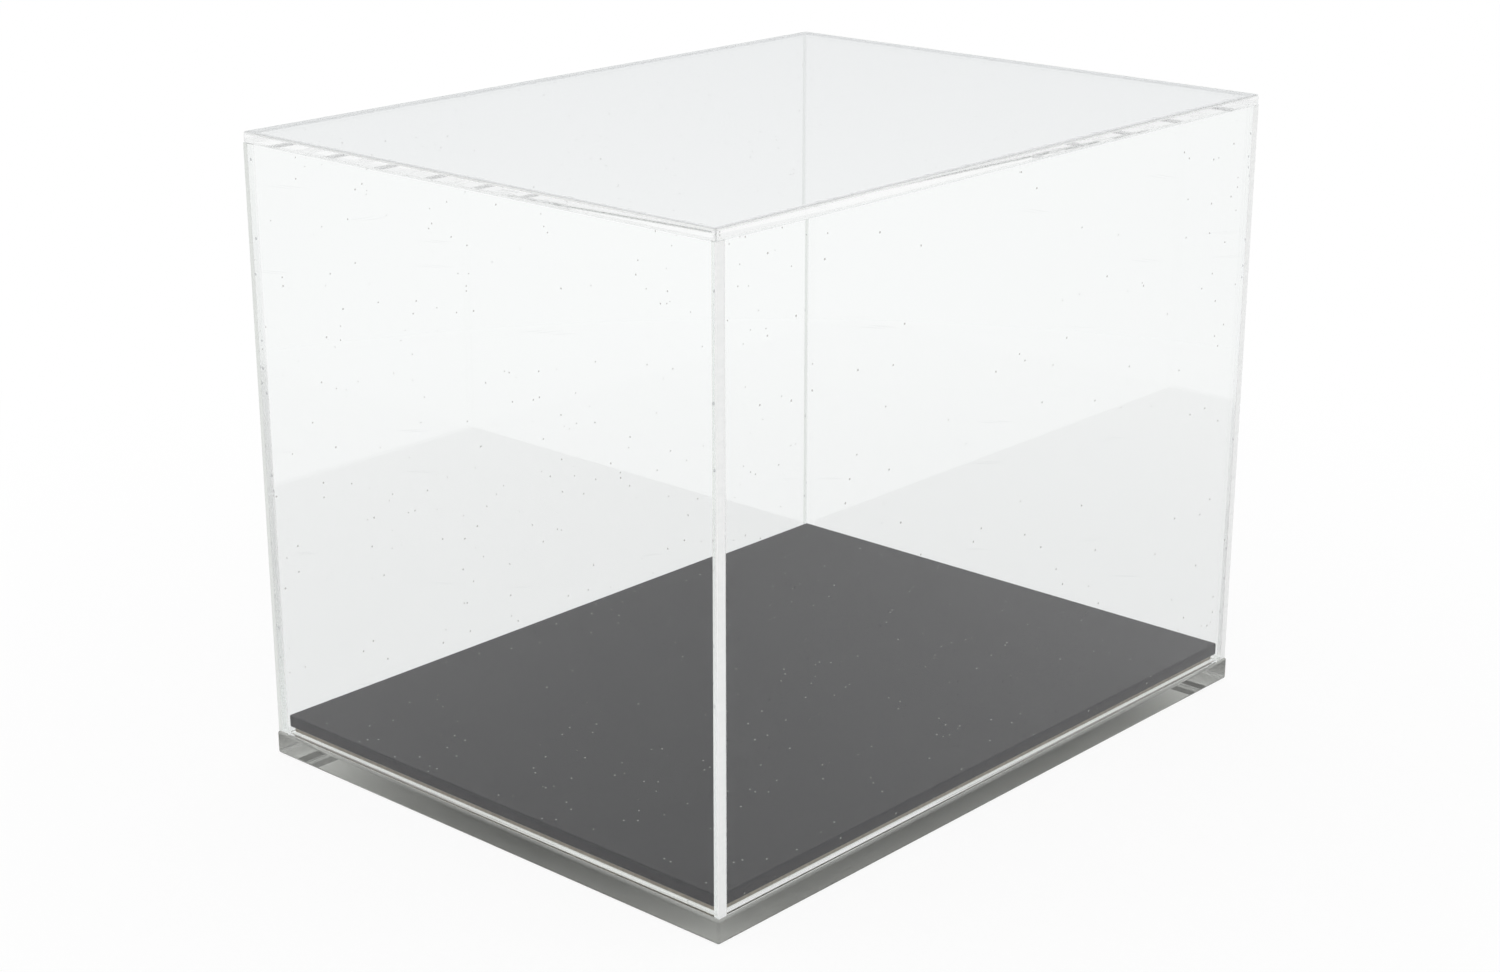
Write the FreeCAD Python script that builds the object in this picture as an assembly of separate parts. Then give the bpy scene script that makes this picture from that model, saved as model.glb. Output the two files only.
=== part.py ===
"""A lift-off display case: a clear slab, a black deck bonded to it, and a clear cover of five cemented sheets.

Millimetres, +Z up. The origin is the middle of the slab's underside, +X runs along the long side,
and the front long wall faces -Y.
"""

import FreeCAD, Part
import os

# Base slab
SLAB_LENGTH = 200.0
SLAB_DEPTH = 150.0
SLAB_THICKNESS = 6.0
SLAB_ARRIS = 0.7

# Cover of flat sheets
COVER_HEIGHT = 151.0
WALL_THICKNESS = 2.5
LID_THICKNESS = 2.5
WALL_ARRIS = 0.25
LID_ARRIS = 0.5
LID_CORNER_RADIUS = 1.0
BOND_THICKNESS = 0.15

# Black deck on its mounting sheet
DECK_THICKNESS = 3.0
DECK_CORNER_RADIUS = 0.6
DECK_TOP_ARRIS = 0.3
DECK_BOTTOM_ARRIS = 0.2
SHEET_THICKNESS = 1.5

# Clearances and margins
SLAB_LEDGE = 0.3
COVER_CLEARANCE = 0.25
SHEET_MARGIN = 1.0

# Sizes that follow from those above
COVER_LENGTH = SLAB_LENGTH - 2 * SLAB_LEDGE
COVER_DEPTH = SLAB_DEPTH - 2 * SLAB_LEDGE
INNER_LENGTH = COVER_LENGTH - 2 * WALL_THICKNESS
INNER_DEPTH = COVER_DEPTH - 2 * WALL_THICKNESS
DECK_LENGTH = INNER_LENGTH - 2 * COVER_CLEARANCE
DECK_DEPTH = INNER_DEPTH - 2 * COVER_CLEARANCE

# Heights above the surface that the slab stands on
SLAB_TOP = SLAB_THICKNESS
SHEET_TOP = SLAB_TOP + SHEET_THICKNESS
DECK_TOP = SHEET_TOP + DECK_THICKNESS
COVER_TOP = SLAB_TOP + COVER_HEIGHT
LID_UNDERSIDE = COVER_TOP - LID_THICKNESS
WALL_TOP = LID_UNDERSIDE - BOND_THICKNESS

TOLERANCE = 1e-6


def block(x_span, y_span, z_span):
    """A box between the low and high value of each axis."""
    corner = FreeCAD.Vector(x_span[0], y_span[0], z_span[0])
    length, depth, height = (high - low for low, high in (x_span, y_span, z_span))
    return Part.makeBox(length, depth, height, corner)


def centred(size):
    """The low and high value of a size that is centred on the origin."""
    return -size / 2, size / 2


def mirrored(span):
    """The same span on the other side of the origin."""
    return -span[1], -span[0]


def upright_edges(shape):
    """The straight edges of a shape that stand along Z."""
    return [edge for edge in shape.Edges if edge.BoundBox.DiagonalLength - edge.BoundBox.ZLength < TOLERANCE]


def level_edges(shape, height):
    """The edges of a shape that lie flat at one height."""
    return [
        edge
        for edge in shape.Edges
        if abs(edge.BoundBox.ZMin - height) < TOLERANCE and abs(edge.BoundBox.ZMax - height) < TOLERANCE
    ]


def edges_at_x(edges, x):
    """Those of the given edges that lie in the plane at x."""
    return [edge for edge in edges if abs(edge.BoundBox.XMin - x) < TOLERANCE and edge.BoundBox.XLength < TOLERANCE]


def base_slab():
    """The clear slab. Polishing has rounded all of its edges alike."""
    slab = block(centred(SLAB_LENGTH), centred(SLAB_DEPTH), (0, SLAB_TOP))
    return slab.makeFillet(SLAB_ARRIS, slab.Edges)


def mounting_sheet():
    """The thin double-sided sheet, set back a little from the deck's edge all round."""
    length = DECK_LENGTH - 2 * SHEET_MARGIN
    depth = DECK_DEPTH - 2 * SHEET_MARGIN
    return block(centred(length), centred(depth), (SLAB_TOP, SHEET_TOP))


def display_deck():
    """The black plate, with rounded corners and softened upper and lower edges."""
    deck = block(centred(DECK_LENGTH), centred(DECK_DEPTH), (SHEET_TOP, DECK_TOP))
    deck = deck.makeFillet(DECK_CORNER_RADIUS, upright_edges(deck))
    deck = deck.makeFillet(DECK_TOP_ARRIS, level_edges(deck, DECK_TOP))
    return deck.makeFillet(DECK_BOTTOM_ARRIS, level_edges(deck, SHEET_TOP))


def end_panel(side):
    """A short wall on the left (side -1) or right (side 1), as long as the cover is deep.

    Its outer upright edges and its lower edges are exposed, so they are eased.
    """
    outer = side * COVER_LENGTH / 2
    inner = side * INNER_LENGTH / 2
    panel = block(sorted((outer, inner)), centred(COVER_DEPTH), (SLAB_TOP, WALL_TOP))
    panel = panel.makeChamfer(WALL_ARRIS, edges_at_x(upright_edges(panel), outer))
    lower_edges = level_edges(panel, SLAB_TOP)
    long_edges = edges_at_x(lower_edges, outer) + edges_at_x(lower_edges, inner)
    return panel.makeChamfer(WALL_ARRIS, long_edges)


def long_panel(side):
    """The front (side -1) or rear (side 1) wall, which stands between the end walls with cement at both ends."""
    length = INNER_LENGTH - 2 * BOND_THICKNESS
    outer = side * COVER_DEPTH / 2
    inner = side * INNER_DEPTH / 2
    panel = block(centred(length), sorted((outer, inner)), (SLAB_TOP, WALL_TOP))
    long_edges = [edge for edge in level_edges(panel, SLAB_TOP) if edge.BoundBox.XLength > TOLERANCE]
    return panel.makeChamfer(WALL_ARRIS, long_edges)


def top_panel():
    """The lid, flush with the walls' outer faces, with eased corners and a softened upper rim."""
    lid = block(centred(COVER_LENGTH), centred(COVER_DEPTH), (LID_UNDERSIDE, COVER_TOP))
    lid = lid.makeFillet(LID_CORNER_RADIUS, upright_edges(lid))
    return lid.makeFillet(LID_ARRIS, level_edges(lid, COVER_TOP))


def corner_bond(x_side, y_side):
    """The upright cement layer between the end of a long wall and the inner face of an end wall."""
    x_span = (INNER_LENGTH / 2 - BOND_THICKNESS, INNER_LENGTH / 2)
    y_span = (INNER_DEPTH / 2, COVER_DEPTH / 2)
    x_placed = x_span if x_side > 0 else mirrored(x_span)
    y_placed = y_span if y_side > 0 else mirrored(y_span)
    return block(x_placed, y_placed, (SLAB_TOP, WALL_TOP))


def long_lid_bond(side):
    """The level cement layer between the lid and the front (side -1) or rear (side 1) wall."""
    y_span = (INNER_DEPTH / 2, COVER_DEPTH / 2)
    y_placed = y_span if side > 0 else mirrored(y_span)
    return block(centred(INNER_LENGTH), y_placed, (WALL_TOP, LID_UNDERSIDE))


def end_lid_bond(side):
    """The level cement layer between the lid and the left (side -1) or right (side 1) wall.

    It ends where the lid's rounded corners begin.
    """
    x_span = (INNER_LENGTH / 2, COVER_LENGTH / 2)
    x_placed = x_span if side > 0 else mirrored(x_span)
    return block(x_placed, centred(COVER_DEPTH - 2 * LID_CORNER_RADIUS), (WALL_TOP, LID_UNDERSIDE))


NODES = {
    "base_slab": base_slab(),
    "mounting_sheet": mounting_sheet(),
    "display_deck": display_deck(),
    "left_panel": end_panel(-1),
    "right_panel": end_panel(1),
    "front_panel": long_panel(-1),
    "rear_panel": long_panel(1),
    "top_panel": top_panel(),
    "front_left_bond": corner_bond(-1, -1),
    "front_right_bond": corner_bond(1, -1),
    "rear_left_bond": corner_bond(-1, 1),
    "rear_right_bond": corner_bond(1, 1),
    "top_front_bond": long_lid_bond(-1),
    "top_rear_bond": long_lid_bond(1),
    "top_left_bond": end_lid_bond(-1),
    "top_right_bond": end_lid_bond(1),
}

os.makedirs("parts", exist_ok=True)
for name, shape in NODES.items():
    shape.exportStep(f"parts/{name}.step")
    print(name, "valid" if shape.isValid() else "INVALID", f"{shape.Volume:.1f} mm3", len(shape.Solids), "solid")
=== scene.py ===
"""A clear lift-off display case: polished slab, black deck, and a cemented cover with sawn sheet ends.

Metres, in the frame of the CAD model: +Z up, with the origin in the middle of the slab's underside.
"""

import math

import bmesh
import bpy
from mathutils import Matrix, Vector, noise


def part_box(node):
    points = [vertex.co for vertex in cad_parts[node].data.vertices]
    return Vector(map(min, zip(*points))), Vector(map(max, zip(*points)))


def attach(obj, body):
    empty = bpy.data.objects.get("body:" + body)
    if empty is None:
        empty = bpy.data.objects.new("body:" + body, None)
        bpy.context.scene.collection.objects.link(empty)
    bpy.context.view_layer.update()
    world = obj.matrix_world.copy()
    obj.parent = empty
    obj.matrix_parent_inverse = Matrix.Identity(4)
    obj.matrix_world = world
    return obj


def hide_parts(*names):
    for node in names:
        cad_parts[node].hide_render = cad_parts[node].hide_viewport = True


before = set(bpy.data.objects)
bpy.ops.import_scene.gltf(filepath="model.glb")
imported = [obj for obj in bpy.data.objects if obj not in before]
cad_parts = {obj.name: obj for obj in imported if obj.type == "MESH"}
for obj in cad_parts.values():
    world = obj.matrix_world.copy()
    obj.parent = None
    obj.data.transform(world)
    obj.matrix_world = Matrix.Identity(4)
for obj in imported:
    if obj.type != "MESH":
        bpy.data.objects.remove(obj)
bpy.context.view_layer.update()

MM = 0.001
X_AXIS, Y_AXIS, Z_AXIS = range(3)

# A direction this close to an axis counts as along it, and places this close count as one
ALONG_AXIS = 0.999
SAME_PLACE = 0.001 * MM
# Z of a face's normal: below the first the face is a side, below the second it looks down
SIDE_FACE = 0.5
LOWER_FACE = -0.1

# End walls run the full depth of the cover, long walls stand between them
END_WALLS = ("left_panel", "right_panel")
LONG_WALLS = ("front_panel", "rear_panel")
CORNER_BONDS = ("front_left_bond", "front_right_bond", "rear_left_bond", "rear_right_bond")
LID_BONDS = ("top_front_bond", "top_rear_bond", "top_left_bond", "top_right_bond")

# Eased edges, and the flat steps that make up each round
SLAB_ARRIS = 0.7 * MM
SLAB_STEPS = 6
WALL_ARRIS = 0.25 * MM
WALL_STEPS = 3
LID_ARRIS = 0.5 * MM
LID_STEPS = 4
LID_CORNER_RADIUS = 1.0 * MM
LID_CORNER_STEPS = 5
DECK_CORNER_RADIUS = 0.6 * MM
DECK_CORNER_STEPS = 6
DECK_TOP_ARRIS = 0.3 * MM
DECK_TOP_STEPS = 5
DECK_BOTTOM_ARRIS = 0.2 * MM
DECK_BOTTOM_STEPS = 4

# Saw marks across the exposed ends of the end walls
SAW_CUTS = 297
SAW_DEPTH_ROUGH = 0.22 * MM
SAW_DEPTH_FINE = 0.04 * MM
SAW_MARKS_PER_METRE = 1000.0
SAW_PATCHES_PER_METRE = (250.0, 250.0, 1100.0)

# Cement that has run inwards under the lid from its joints
CEMENT_RUN = 3.4 * MM
CEMENT_WAVE = 1.4 * MM
CEMENT_WAVES_PER_METRE = 110.0
CEMENT_CUTS = 90

# Clear surfaces that touch keep a film of air between them
SEAT_GAP = 0.03 * MM
BOND_GAP = 0.02 * MM

# How far acrylic bends light, and the value at which a cemented face bends none
ACRYLIC_IOR = 1.49
MATCHED_IOR = 1.0

# Share of the light that a sawn end lets through, seen from inside the sheet and from outside
FROST_SHARE_INSIDE = 0.9
FROST_SHARE_OUTSIDE = 0.1

# Hairline scratches: length over width, and their slope on walls and lid in radians
HAIRLINE_STRETCH = 80.0
WALL_SCRATCH_SLOPE = 0.25
LID_SCRATCH_SLOPE = 0.9

# Colours of the finishes
SHEET_TINT = (0.982, 0.99, 0.987, 1.0)
SLAB_TINT = (0.947, 0.967, 0.947, 1.0)
DUST_DARK = (0.35, 0.34, 0.32, 1.0)
DUST_PALE = (0.45, 0.44, 0.42, 1.0)
SCRATCH_TINT = (0.86, 0.87, 0.87, 1.0)
SAWN_PALE = (0.99, 0.995, 0.99, 1.0)
SAWN_DULL = (0.96, 0.97, 0.965, 1.0)
FROST_TINT = (0.87, 0.89, 0.86, 1.0)
CEMENT_CLEAR = (0.985, 0.99, 0.99, 1.0)
CEMENT_MILKY = (0.92, 0.93, 0.935, 1.0)
BUBBLE_DARK = (0.10, 0.10, 0.14, 1.0)
BUBBLE_PALE = (0.62, 0.62, 0.64, 1.0)
DECK_BLACK = (0.0065, 0.006, 0.0075, 1.0)
DECK_GRAIN = (0.013, 0.012, 0.0145, 1.0)
DECK_SHEEN = (0.94, 0.93, 0.97, 1.0)
FOAM_PALE = (0.47, 0.41, 0.33, 1.0)
FOAM_DARK = (0.37, 0.32, 0.25, 1.0)

# Adhesive under the mounting sheet, with painted light and shade: painted pale light near the slab's sides,
# painted shade further in
WETTED_PAINTED_LIGHT = (0.95, 0.95, 0.92, 1.0)
WETTED_PAINTED_SHADE = (0.12, 0.12, 0.113, 1.0)
PAINTED_LIGHT_FADE_LONG_SIDE = 22.0 * MM
PAINTED_LIGHT_FADE_END = 16.5 * MM

# View
CAMERA_PLACE = Vector((-0.4728, -0.4203, 0.2749))
CAMERA_PITCH = math.radians(71.42)
CAMERA_TURN = math.radians(-47.95)
CAMERA_LENS = 63.7
CAMERA_SENSOR = 36.0

# Floor and surround
FLOOR_DROP = 0.1 * MM
FLOOR_RADIUS = 4.0
FLOOR_SIDES = 96
FLOOR_PALE = (0.9, 0.9, 0.9, 1.0)
FLOOR_REFLECTED = (0.52, 0.515, 0.53, 1.0)
FLOOR_WHITE_NEAR = 0.9
FLOOR_FADE_START = 0.12
FLOOR_FADE_END = 0.4
SURROUND_WHITE = (1.0, 1.0, 1.0, 1.0)
SURROUND_LEVEL = (0.97, 0.97, 0.97, 1.0)
SURROUND_OVERHEAD = (0.82, 0.83, 0.84, 1.0)
SURROUND_REFLECTED = (0.7, 0.71, 0.73, 1.0)

# Light crosses many clear surfaces and reflects many times inside the sheets before it leaves
CLEAR_BOUNCES = 640
MATT_BOUNCES = 64

# Sockets of a Mix node that mixes colours
MIX_PLAIN = 6
MIX_MARKED = 7
MIX_RESULT = 2


def new_object(name, bm, materials):
    """An object at the origin from a finished bmesh, with its materials in order."""
    mesh = bpy.data.meshes.new(name)
    bm.to_mesh(mesh)
    bm.free()
    for material in materials:
        mesh.materials.append(material)
    piece = bpy.data.objects.new(name, mesh)
    bpy.context.scene.collection.objects.link(piece)
    return piece


def stand_for(piece, node, body):
    """The piece replaces a node of the frame, which is hidden, and rides on its body."""
    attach(piece, body)
    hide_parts(node)


def block(low, high):
    """A bmesh box between two corners."""
    bm = bmesh.new()
    bmesh.ops.create_cube(bm, size=1.0)
    bmesh.ops.scale(bm, vec=high - low, verts=bm.verts)
    bmesh.ops.translate(bm, vec=(low + high) / 2, verts=bm.verts)
    return bm


def round_edges(bm, edges, radius, steps):
    """Rounds the given edges, shades the new faces smooth and gives them back."""
    made = bmesh.ops.bevel(
        bm, geom=edges, offset=radius, affect="EDGES", segments=steps, profile=0.5, material=-1
    )
    for face in made["faces"]:
        face.smooth = True
    return made["faces"]


def runs_along(edge, axis):
    """True for a straight edge along one axis."""
    run = edge.verts[1].co - edge.verts[0].co
    return abs(run[axis]) > ALONG_AXIS * run.length


def lies_at(edge, axis, value):
    """True for an edge in the plane where one axis has the given value."""
    return all(abs(vert.co[axis] - value) < SAME_PLACE for vert in edge.verts)


def upright_edges(bm):
    """The straight edges that stand along Z."""
    return [edge for edge in bm.edges if runs_along(edge, Z_AXIS)]


def outline_edges(bm, height):
    """The edges at one height between a flat face and the sides."""
    return [
        edge
        for edge in bm.edges
        if lies_at(edge, Z_AXIS, height) and any(abs(face.normal.z) < SIDE_FACE for face in edge.link_faces)
    ]


def add(tree, kind, **settings):
    """A new node with its own settings."""
    made = tree.nodes.new(kind)
    for name, value in settings.items():
        setattr(made, name, value)
    return made


def feed(tree, socket, value):
    """Joins another socket to this one, or sets its plain value."""
    if isinstance(value, bpy.types.NodeSocket):
        tree.links.new(value, socket)
    else:
        socket.default_value = value


def sum_of(tree, operation, first, second=0.0):
    """The result of one sum on sockets or numbers."""
    made = add(tree, "ShaderNodeMath", operation=operation)
    feed(tree, made.inputs[0], first)
    feed(tree, made.inputs[1], second)
    return made.outputs[0]


def mixed_colour(tree, mask, plain, marked):
    """A colour that goes from plain to marked where the mask is 1."""
    made = add(tree, "ShaderNodeMix", data_type="RGBA")
    feed(tree, made.inputs["Factor"], mask)
    feed(tree, made.inputs[MIX_PLAIN], plain)
    feed(tree, made.inputs[MIX_MARKED], marked)
    return made.outputs[MIX_RESULT]


def show_mix(tree, share, first, second):
    """Sends a mix of two shaders to the surface, with the given share of the second."""
    mix = add(tree, "ShaderNodeMixShader")
    feed(tree, mix.inputs["Fac"], share)
    feed(tree, mix.inputs[1], first.outputs[0])
    feed(tree, mix.inputs[2], second.outputs[0])
    feed(tree, tree.nodes["Material Output"].inputs["Surface"], mix.outputs[0])


def object_place(tree):
    """The place on the piece, in metres."""
    return add(tree, "ShaderNodeTexCoord").outputs["Object"]


def place_parts(tree):
    """The X, Y and Z of the place on the piece."""
    parts = add(tree, "ShaderNodeSeparateXYZ")
    feed(tree, parts.inputs[0], object_place(tree))
    return parts.outputs


def wall_place(tree):
    """The place on an upright sheet: along the wall, then up."""
    parts = place_parts(tree)
    joined = add(tree, "ShaderNodeCombineXYZ")
    feed(tree, joined.inputs["X"], sum_of(tree, "ADD", parts["X"], parts["Y"]))
    feed(tree, joined.inputs["Y"], parts["Z"])
    return joined.outputs[0]


def stretched_place(tree, scale):
    """The place on the piece, with each axis scaled by its own amount."""
    made = add(tree, "ShaderNodeMapping")
    feed(tree, made.inputs["Vector"], object_place(tree))
    made.inputs["Scale"].default_value = scale
    return made.outputs[0]


def distance_from_side(tree, coordinate, half_size, fade):
    """0 at two opposite sides of a piece, rising to 1 inwards over the fade length."""
    inwards = sum_of(tree, "SUBTRACT", half_size, sum_of(tree, "ABSOLUTE", coordinate))
    nearness = sum_of(tree, "EXPONENT", sum_of(tree, "DIVIDE", inwards, -fade))
    return sum_of(tree, "SUBTRACT", 1.0, nearness)


def painted_side_light(tree):
    """The mask of painted light on the wetted sheet: 1 at the slab's sides, falling off inwards, faster
    from the ends than from the long sides.
    """
    parts = place_parts(tree)
    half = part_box("base_slab")[1]
    from_ends = distance_from_side(tree, parts["X"], half.x, PAINTED_LIGHT_FADE_END)
    from_long_sides = distance_from_side(tree, parts["Y"], half.y, PAINTED_LIGHT_FADE_LONG_SIDE)
    return sum_of(tree, "SUBTRACT", 1.0, sum_of(tree, "MULTIPLY", from_ends, from_long_sides))


def new_group(name, numbers, output):
    """An empty shared effect with a Vector input, named numbers and one output."""
    group = bpy.data.node_groups.new(name, "ShaderNodeTree")
    group.interface.new_socket("Vector", in_out="INPUT", socket_type="NodeSocketVector")
    for label, value in numbers.items():
        socket = group.interface.new_socket(label, in_out="INPUT", socket_type="NodeSocketFloat")
        socket.default_value = value
    group.interface.new_socket(output, in_out="OUTPUT", socket_type="NodeSocketFloat")
    return group, add(group, "NodeGroupInput").outputs, add(group, "NodeGroupOutput").inputs[output]


def marked_cells(group, cells, given):
    """A mask of round marks in some of a Voronoi texture's cells."""
    feed(group, cells.inputs["Scale"], given["Cells per metre"])
    near = sum_of(group, "LESS_THAN", cells.outputs["Distance"], given["Radius"])
    pick = add(group, "ShaderNodeSeparateColor")
    feed(group, pick.inputs["Color"], cells.outputs["Color"])
    chosen = sum_of(group, "LESS_THAN", pick.outputs["Red"], given["Share"])
    return sum_of(group, "MULTIPLY", near, chosen)


def speck_group():
    """Scattered round specks. Radius is in cells, Share is the part of the cells that hold one."""
    numbers = {"Cells per metre": 450.0, "Radius": 0.12, "Share": 0.04}
    group, given, mask = new_group("scattered_specks", numbers, "Mask")
    cells = add(group, "ShaderNodeTexVoronoi")
    feed(group, cells.inputs["Vector"], given["Vector"])
    feed(group, mask, marked_cells(group, cells, given))
    return group


def hairline_group():
    """Fine straight scratches on a flat face. The Vector's X and Y lie in the face."""
    numbers = {"Cells per metre": 20.0, "Slope": 0.2, "Radius": 0.1, "Share": 0.02}
    group, given, mask = new_group("hairline_scratches", numbers, "Mask")
    turned = add(group, "ShaderNodeVectorRotate", rotation_type="Z_AXIS")
    feed(group, turned.inputs["Vector"], given["Vector"])
    feed(group, turned.inputs["Angle"], given["Slope"])
    narrowed = add(group, "ShaderNodeMapping")
    feed(group, narrowed.inputs["Vector"], turned.outputs[0])
    narrowed.inputs["Scale"].default_value = (1.0, HAIRLINE_STRETCH, 1.0)
    cells = add(group, "ShaderNodeTexVoronoi", voronoi_dimensions="2D")
    feed(group, cells.inputs["Vector"], narrowed.outputs[0])
    feed(group, mask, marked_cells(group, cells, given))
    return group


def mottle_group():
    """Soft uneven patches between a low and a high value."""
    numbers = {"Patches per metre": 40.0, "Low": 0.0, "High": 1.0}
    group, given, value = new_group("soft_mottle", numbers, "Value")
    cloud = add(group, "ShaderNodeTexNoise")
    cloud.inputs["Detail"].default_value = 3.0
    feed(group, cloud.inputs["Vector"], given["Vector"])
    feed(group, cloud.inputs["Scale"], given["Patches per metre"])
    spread = add(group, "ShaderNodeMapRange", interpolation_type="SMOOTHSTEP")
    spread.inputs["From Min"].default_value = 0.35
    spread.inputs["From Max"].default_value = 0.65
    feed(group, spread.inputs["Value"], cloud.outputs[0])
    feed(group, spread.inputs["To Min"], given["Low"])
    feed(group, spread.inputs["To Max"], given["High"])
    feed(group, value, spread.outputs["Result"])
    return group


def effect(tree, group, vector, numbers):
    """One use of a shared effect with its own numbers."""
    made = add(tree, "ShaderNodeGroup", node_tree=group)
    feed(tree, made.inputs["Vector"], vector)
    for label, value in numbers.items():
        made.inputs[label].default_value = value
    return made.outputs[0]


def mottled_colour(tree, groups, plain, marked, patches_per_metre):
    """A colour in soft patches between two tones."""
    mask = effect(tree, groups["mottle"], object_place(tree), {"Patches per metre": patches_per_metre})
    return mixed_colour(tree, mask, plain, marked)


def new_material(name):
    """A material with its node tree and its Principled shader."""
    material = bpy.data.materials.new(name)
    material.use_nodes = True
    return material, material.node_tree, material.node_tree.nodes["Principled BSDF"]


def set_clear(shader, roughness, ior=ACRYLIC_IOR):
    """Gives a shader the plain values of a clear surface."""
    shader.inputs["IOR"].default_value = ior
    shader.inputs["Transmission Weight"].default_value = 1.0
    shader.inputs["Roughness"].default_value = roughness


def add_bump(tree, shader, height, strength, depth):
    """Fine relief on a shader."""
    bump = add(tree, "ShaderNodeBump")
    bump.inputs["Strength"].default_value = strength
    bump.inputs["Distance"].default_value = depth
    feed(tree, bump.inputs["Height"], height)
    feed(tree, shader.inputs["Normal"], bump.outputs[0])


def clear_sheet_material(name, face_place, slope, groups):
    """A polished sheet face: almost colourless, with dust specks and hairline scratches."""
    material, tree, shader = new_material(name)
    set_clear(shader, roughness=0.0)
    dust = effect(tree, groups["specks"], object_place(tree), {"Cells per metre": 450.0, "Share": 0.06})
    scratches = effect(tree, groups["hairlines"], face_place(tree), {"Slope": slope, "Share": 0.008})
    scratched = mixed_colour(tree, scratches, SHEET_TINT, SCRATCH_TINT)
    feed(tree, shader.inputs["Base Color"], mixed_colour(tree, dust, scratched, DUST_DARK))
    return material


def sawn_end_material(groups):
    """A saw-cut end: frosted and whitish, with fine marks across the cut.

    From inside the sheet it glows with the light behind it.
    """
    material, tree, shader = new_material("sawn_end")
    shader.inputs["IOR"].default_value = ACRYLIC_IOR
    shader.inputs["Roughness"].default_value = 0.6
    place = stretched_place(tree, SAW_PATCHES_PER_METRE)
    marks = effect(tree, groups["mottle"], place, {"Patches per metre": 1.0})
    feed(tree, shader.inputs["Base Color"], mixed_colour(tree, marks, SAWN_PALE, SAWN_DULL))
    add_bump(tree, shader, marks, strength=0.3, depth=0.04 * MM)
    frost = add(tree, "ShaderNodeBsdfTranslucent")
    frost.inputs["Color"].default_value = FROST_TINT
    inside = add(tree, "ShaderNodeNewGeometry").outputs["Backfacing"]
    share_inside = sum_of(tree, "MULTIPLY", inside, FROST_SHARE_INSIDE)
    show_mix(tree, sum_of(tree, "MAXIMUM", share_inside, FROST_SHARE_OUTSIDE), shader, frost)
    return material


def planed_edge_material(groups):
    """The cover's lower edge: planed flat and nearly clear, so that it mirrors the white surround."""
    material, tree, shader = new_material("planed_lower_edge")
    set_clear(shader, roughness=0.05)
    planed = mottled_colour(tree, groups, SAWN_PALE, SAWN_DULL, patches_per_metre=120.0)
    feed(tree, shader.inputs["Base Color"], planed)
    return material


def cemented_face_material(groups):
    """The lid's underside where cement wetted it: clear and milky by turns, lumpy, with dark bubbles."""
    material, tree, shader = new_material("cemented_face")
    set_clear(shader, roughness=0.08)
    place = object_place(tree)
    lumps = effect(tree, groups["mottle"], place, {"Patches per metre": 260.0})
    bubble_numbers = {"Cells per metre": 160.0, "Radius": 0.09, "Share": 0.12}
    bubbles = effect(tree, groups["specks"], place, bubble_numbers)
    milky = mottled_colour(tree, groups, CEMENT_CLEAR, CEMENT_MILKY, patches_per_metre=130.0)
    feed(tree, shader.inputs["Base Color"], mixed_colour(tree, bubbles, milky, BUBBLE_DARK))
    add_bump(tree, shader, lumps, strength=0.2, depth=0.12 * MM)
    return material


def cement_material(groups):
    """A cured cement layer: clear with faint patches and small bubbles."""
    material, tree, shader = new_material("cured_cement")
    set_clear(shader, roughness=0.08)
    bubble_numbers = {"Cells per metre": 700.0, "Radius": 0.25, "Share": 0.05}
    bubbles = effect(tree, groups["specks"], object_place(tree), bubble_numbers)
    patchy = mottled_colour(tree, groups, SAWN_PALE, CEMENT_CLEAR, patches_per_metre=150.0)
    feed(tree, shader.inputs["Base Color"], mixed_colour(tree, bubbles, patchy, BUBBLE_PALE))
    return material


def eased_rim_material(groups):
    """The lid's softened upper rim: lightly frosted where it was scraped smooth."""
    material, tree, shader = new_material("eased_rim")
    set_clear(shader, roughness=0.35)
    scraped = mottled_colour(tree, groups, SAWN_PALE, SAWN_DULL, patches_per_metre=400.0)
    feed(tree, shader.inputs["Base Color"], scraped)
    return material


def cemented_end_material(groups):
    """The end of a long wall in its joint. Cement bends light as acrylic does, so the cut is cleared."""
    material, tree, shader = new_material("cemented_end")
    set_clear(shader, roughness=0.1, ior=MATCHED_IOR)
    patchy = mottled_colour(tree, groups, SAWN_PALE, CEMENT_CLEAR, patches_per_metre=150.0)
    feed(tree, shader.inputs["Base Color"], patchy)
    return material


def polished_slab_material(groups):
    """The thick slab: clear with a faint grey-green cast and a few scratches."""
    material, tree, shader = new_material("polished_slab")
    set_clear(shader, roughness=0.0)
    scratches = effect(tree, groups["hairlines"], object_place(tree), {"Slope": 0.6, "Share": 0.02})
    feed(tree, shader.inputs["Base Color"], mixed_colour(tree, scratches, SLAB_TINT, SCRATCH_TINT))
    return material


def wetted_sheet_painted_light_material(groups):
    """The mounting sheet's adhesive where it wets the slab, as it shows through the slab's sides, with
    painted light near the sides and painted shade further in.
    """
    material, tree, shader = new_material("wetted_sheet_painted_light")
    shader.inputs["Roughness"].default_value = 0.9
    shader.inputs["Specular IOR Level"].default_value = 0.0
    mottle_numbers = {"Patches per metre": 60.0, "Low": 0.9, "High": 1.0}
    mottle = effect(tree, groups["mottle"], object_place(tree), mottle_numbers)
    # Painted light near the slab's sides, fading to painted shade inwards, with a faint random mottle
    lit = sum_of(tree, "MULTIPLY", painted_side_light(tree), mottle)
    feed(tree, shader.inputs["Base Color"], mixed_colour(tree, lit, WETTED_PAINTED_SHADE, WETTED_PAINTED_LIGHT))
    return material


def mounting_sheet_material(groups):
    """Matt beige foam sheet."""
    material, tree, shader = new_material("beige_mounting_sheet")
    shader.inputs["Roughness"].default_value = 0.85
    grained = mottled_colour(tree, groups, FOAM_PALE, FOAM_DARK, patches_per_metre=900.0)
    feed(tree, shader.inputs["Base Color"], grained)
    return material


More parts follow.
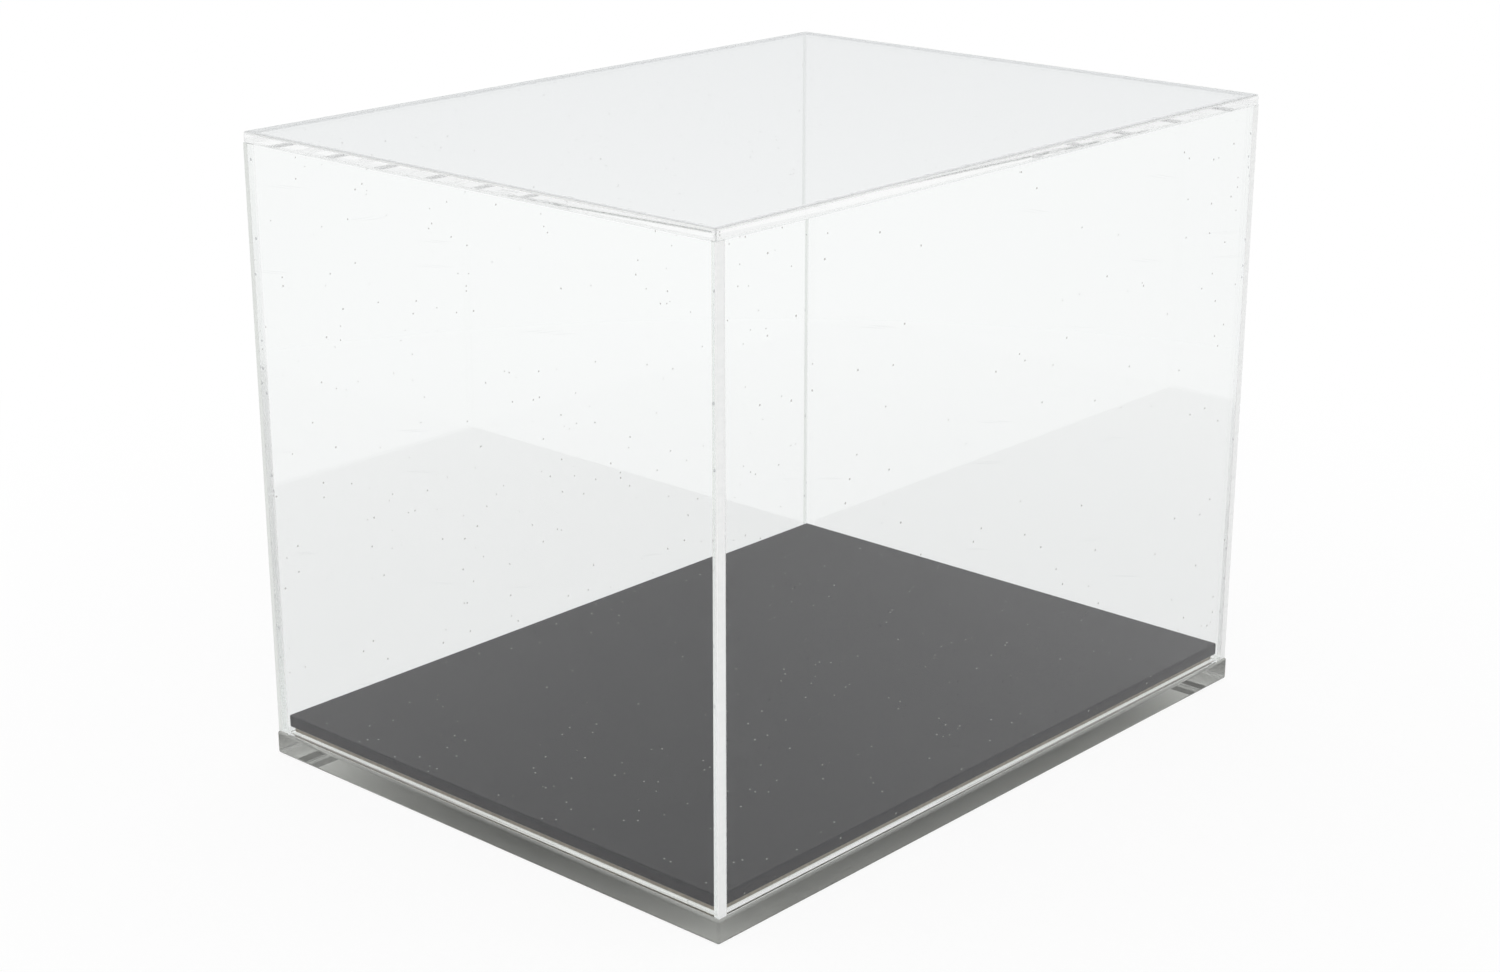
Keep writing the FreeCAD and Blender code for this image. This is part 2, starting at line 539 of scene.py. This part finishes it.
def deck_material(groups):
    """Satin black sheet with a fine grain and pale dust specks."""
    material, tree, shader = new_material("satin_black_deck")
    shader.inputs["IOR"].default_value = ACRYLIC_IOR
    shader.inputs["Specular IOR Level"].default_value = 0.12
    shader.inputs["Specular Tint"].default_value = DECK_SHEEN
    place = object_place(tree)
    dust = effect(tree, groups["specks"], place, {"Cells per metre": 500.0, "Radius": 0.12, "Share": 0.2})
    grained = mottled_colour(tree, groups, DECK_BLACK, DECK_GRAIN, patches_per_metre=2500.0)
    feed(tree, shader.inputs["Base Color"], mixed_colour(tree, dust, grained, DUST_PALE))
    sheen = effect(tree, groups["mottle"], place, {"Patches per metre": 25.0, "Low": 0.29, "High": 0.3})
    feed(tree, shader.inputs["Roughness"], sheen)
    return material


def make_slab(polished, wetted):
    """The slab with polished edges. Its upper face is wetted by the mounting sheet's adhesive, which
    carries painted light near the sides and painted shade further in.
    """
    low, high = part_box("base_slab")
    sheet_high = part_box("mounting_sheet")[1]
    bm = block(low, high)
    round_edges(bm, list(bm.edges), SLAB_ARRIS, SLAB_STEPS)
    top = max(bm.faces, key=lambda face: face.calc_center_median().z)
    dry_margin = high.x - SLAB_ARRIS - sheet_high.x
    bmesh.ops.inset_region(bm, faces=[top], thickness=dry_margin, use_even_offset=True)
    finishes = (polished, wetted)
    top.material_index = finishes.index(wetted)
    stand_for(new_object("polished_slab", bm, finishes), "base_slab", "base")


def make_deck(black):
    """The deck with rounded corners and softened edges."""
    low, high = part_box("display_deck")
    bm = block(low, high)
    round_edges(bm, upright_edges(bm), DECK_CORNER_RADIUS, DECK_CORNER_STEPS)
    round_edges(bm, outline_edges(bm, high.z), DECK_TOP_ARRIS, DECK_TOP_STEPS)
    round_edges(bm, outline_edges(bm, low.z), DECK_BOTTOM_ARRIS, DECK_BOTTOM_STEPS)
    stand_for(new_object("black_deck", bm, (black,)), "display_deck", "base")


def make_mounting_sheet(beige):
    """The thin sheet under the deck."""
    low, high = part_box("mounting_sheet")
    low.z += SEAT_GAP
    bm = block(low, high)
    stand_for(new_object("beige_sheet", bm, (beige,)), "mounting_sheet", "base")


def cut_saw_marks(bm, half_depth):
    """Draws the ends of an end wall inwards by an uneven amount, more so where the saw came out."""
    for vert in bm.verts:
        if half_depth - abs(vert.co.y) > WALL_ARRIS / 2:
            continue
        depth = SAW_DEPTH_ROUGH if vert.co.x * vert.co.y < 0 else SAW_DEPTH_FINE
        wave = noise.noise(Vector((0.0, vert.co.y, vert.co.z * SAW_MARKS_PER_METRE)))
        vert.co.y -= math.copysign(depth * (0.5 + 0.5 * wave), vert.co.y)


def make_end_wall(node, clear, sawn, planed):
    """A wall with sawn front and rear ends and a planed lower edge."""
    low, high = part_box(node)
    outer = low.x if low.x < 0 else high.x
    low.z += SEAT_GAP
    bm = block(low, high)
    bmesh.ops.subdivide_edges(bm, edges=upright_edges(bm), cuts=SAW_CUTS, use_grid_fill=True)
    eased = [edge for edge in upright_edges(bm) if lies_at(edge, X_AXIS, outer)]
    eased += [edge for edge in bm.edges if runs_along(edge, Y_AXIS) and lies_at(edge, Z_AXIS, low.z)]
    round_edges(bm, eased, WALL_ARRIS, WALL_STEPS)
    bm.normal_update()
    finishes = (clear, sawn, planed)
    for face in bm.faces:
        is_sheet_face = abs(face.normal.x) > ALONG_AXIS or face.normal.z > ALONG_AXIS
        face.material_index = finishes.index(clear if is_sheet_face else sawn)
        if face.normal.z < LOWER_FACE:
            face.material_index = finishes.index(planed)
    cut_saw_marks(bm, high.y)
    stand_for(new_object("clear_" + node, bm, finishes), node, "cover")


def make_long_wall(node, clear, planed, cemented):
    """A wall with a planed lower edge and two cemented ends."""
    low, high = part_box(node)
    low.z += SEAT_GAP
    bm = block(low, high)
    eased = [edge for edge in bm.edges if runs_along(edge, X_AXIS) and lies_at(edge, Z_AXIS, low.z)]
    round_edges(bm, eased, WALL_ARRIS, WALL_STEPS)
    finishes = (clear, planed, cemented)
    for face in bm.faces:
        if face.normal.z < LOWER_FACE:
            face.material_index = finishes.index(planed)
        elif abs(face.normal.x) > ALONG_AXIS:
            face.material_index = finishes.index(cemented)
    stand_for(new_object("clear_" + node, bm, finishes), node, "cover")


def spread_cement(bm, underside, half_length, half_depth):
    """Marks a wavy border on the lid's underside where cement has run inwards. Gives the border's faces."""
    inset = bmesh.ops.inset_region(bm, faces=[underside], thickness=CEMENT_RUN, use_even_offset=True)
    ring_edges = [edge for face in inset["faces"] for edge in face.edges]
    rims = [edge for edge in ring_edges if runs_along(edge, X_AXIS) or runs_along(edge, Y_AXIS)]
    bmesh.ops.subdivide_edges(bm, edges=list(set(rims)), cuts=CEMENT_CUTS)
    inner_length = half_length - CEMENT_RUN
    inner_depth = half_depth - CEMENT_RUN
    for vert in underside.verts:
        wave = CEMENT_WAVE * noise.noise(vert.co * CEMENT_WAVES_PER_METRE)
        if abs(abs(vert.co.x) - inner_length) < SAME_PLACE:
            vert.co.x += math.copysign(wave, vert.co.x)
        if abs(abs(vert.co.y) - inner_depth) < SAME_PLACE:
            vert.co.y += math.copysign(wave, vert.co.y)
    return [face for face in bm.faces if face is not underside and face.normal.z < -ALONG_AXIS]


def make_lid(clear, eased, cemented):
    """The lid sheet with eased corners, a softened upper rim and cement round its underside."""
    low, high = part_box("top_panel")
    bm = block(low, high)
    finishes = (clear, eased, cemented)
    underside = min(bm.faces, key=lambda face: face.calc_center_median().z)
    for face in spread_cement(bm, underside, high.x, high.y):
        face.material_index = finishes.index(cemented)
    round_edges(bm, upright_edges(bm), LID_CORNER_RADIUS, LID_CORNER_STEPS)
    for face in round_edges(bm, outline_edges(bm, high.z), LID_ARRIS, LID_STEPS):
        face.material_index = finishes.index(eased)
    stand_for(new_object("clear_lid", bm, finishes), "top_panel", "cover")


def make_bond(node, cement):
    """One cement layer, with a film of air between it and the sheets."""
    low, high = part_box(node)
    film = Vector((BOND_GAP, BOND_GAP, BOND_GAP))
    bm = block(low + film, high - film)
    stand_for(new_object("cement_" + node, bm, (cement,)), node, "cover")


def make_object():
    """All pieces of the case with their finishes."""
    groups = {"specks": speck_group(), "hairlines": hairline_group(), "mottle": mottle_group()}
    wall = clear_sheet_material("clear_wall", wall_place, WALL_SCRATCH_SLOPE, groups)
    lid = clear_sheet_material("clear_lid", object_place, LID_SCRATCH_SLOPE, groups)
    sawn = sawn_end_material(groups)
    planed = planed_edge_material(groups)
    cemented_end = cemented_end_material(groups)
    cement = cement_material(groups)
    make_slab(polished_slab_material(groups), wetted_sheet_painted_light_material(groups))
    make_mounting_sheet(mounting_sheet_material(groups))
    make_deck(deck_material(groups))
    for node in END_WALLS:
        make_end_wall(node, wall, sawn, planed)
    for node in LONG_WALLS:
        make_long_wall(node, wall, planed, cemented_end)
    make_lid(lid, eased_rim_material(groups), cemented_face_material(groups))
    for node in CORNER_BONDS + LID_BONDS:
        make_bond(node, cement)


def make_floor():
    """A plain pale floor that keeps the object's shadow and fades to white away from it."""
    bm = bmesh.new()
    bmesh.ops.create_circle(bm, cap_ends=True, segments=FLOOR_SIDES, radius=FLOOR_RADIUS)
    bmesh.ops.translate(bm, vec=(0, 0, -FLOOR_DROP), verts=bm.verts)
    material, tree, shader = new_material("pale_floor")
    tree.nodes.remove(shader)
    path = add(tree, "ShaderNodeLightPath").outputs
    matt = add(tree, "ShaderNodeBsdfDiffuse")
    pale = mixed_colour(tree, path["Is Glossy Ray"], FLOOR_PALE, FLOOR_REFLECTED)
    feed(tree, matt.inputs["Color"], pale)
    distance = add(tree, "ShaderNodeVectorMath", operation="LENGTH")
    feed(tree, distance.inputs[0], object_place(tree))
    fade = add(tree, "ShaderNodeMapRange", interpolation_type="SMOOTHSTEP")
    fade.inputs["From Min"].default_value = FLOOR_FADE_START
    fade.inputs["From Max"].default_value = FLOOR_FADE_END
    fade.inputs["To Min"].default_value = FLOOR_WHITE_NEAR
    feed(tree, fade.inputs["Value"], distance.outputs["Value"])
    seen = sum_of(tree, "MAXIMUM", path["Is Camera Ray"], path["Is Transmission Ray"])
    whiteness = sum_of(tree, "MULTIPLY", fade.outputs["Result"], seen)
    show_mix(tree, whiteness, matt, add(tree, "ShaderNodeEmission"))
    new_object("floor", bm, (material,))


def make_world():
    """Even white light all round. Clear pieces see a pale surround that is a little greyer overhead."""
    world = bpy.data.worlds.new("white_studio")
    bpy.context.scene.world = world
    world.use_nodes = True
    tree = world.node_tree
    tree.nodes.clear()
    parts = add(tree, "ShaderNodeSeparateXYZ")
    feed(tree, parts.inputs[0], add(tree, "ShaderNodeTexCoord").outputs["Generated"])
    surround = add(tree, "ShaderNodeValToRGB")
    surround.color_ramp.elements[0].color = SURROUND_LEVEL
    surround.color_ramp.elements[1].color = SURROUND_OVERHEAD
    feed(tree, surround.inputs["Fac"], parts.outputs["Z"])
    path = add(tree, "ShaderNodeLightPath").outputs
    through = path["Is Transmission Ray"]
    seen_through = mixed_colour(tree, through, SURROUND_WHITE, surround.outputs["Color"])
    # A refracted ray counts as glossy too, so only the rest of the glossy rays are reflections
    mirrored = sum_of(tree, "MULTIPLY", path["Is Glossy Ray"], sum_of(tree, "SUBTRACT", 1.0, through))
    background = add(tree, "ShaderNodeBackground")
    feed(tree, background.inputs["Color"], mixed_colour(tree, mirrored, seen_through, SURROUND_REFLECTED))
    feed(tree, add(tree, "ShaderNodeOutputWorld").inputs["Surface"], background.outputs[0])


def make_camera():
    """The camera at the photograph's viewing angle."""
    data = bpy.data.cameras.new("view")
    data.lens = CAMERA_LENS
    data.sensor_width = CAMERA_SENSOR
    camera = bpy.data.objects.new("view", data)
    camera.location = CAMERA_PLACE
    camera.rotation_euler = (CAMERA_PITCH, 0.0, CAMERA_TURN)
    bpy.context.scene.collection.objects.link(camera)
    bpy.context.scene.camera = camera


def set_light_paths():
    """Enough bounces for light to travel through the sheets."""
    paths = bpy.context.scene.cycles
    paths.max_bounces = CLEAR_BOUNCES
    paths.transmission_bounces = CLEAR_BOUNCES
    paths.glossy_bounces = CLEAR_BOUNCES
    paths.diffuse_bounces = MATT_BOUNCES


make_object()
make_floor()
make_world()
make_camera()
set_light_paths()
bpy.context.scene.view_settings.view_transform = "Standard"
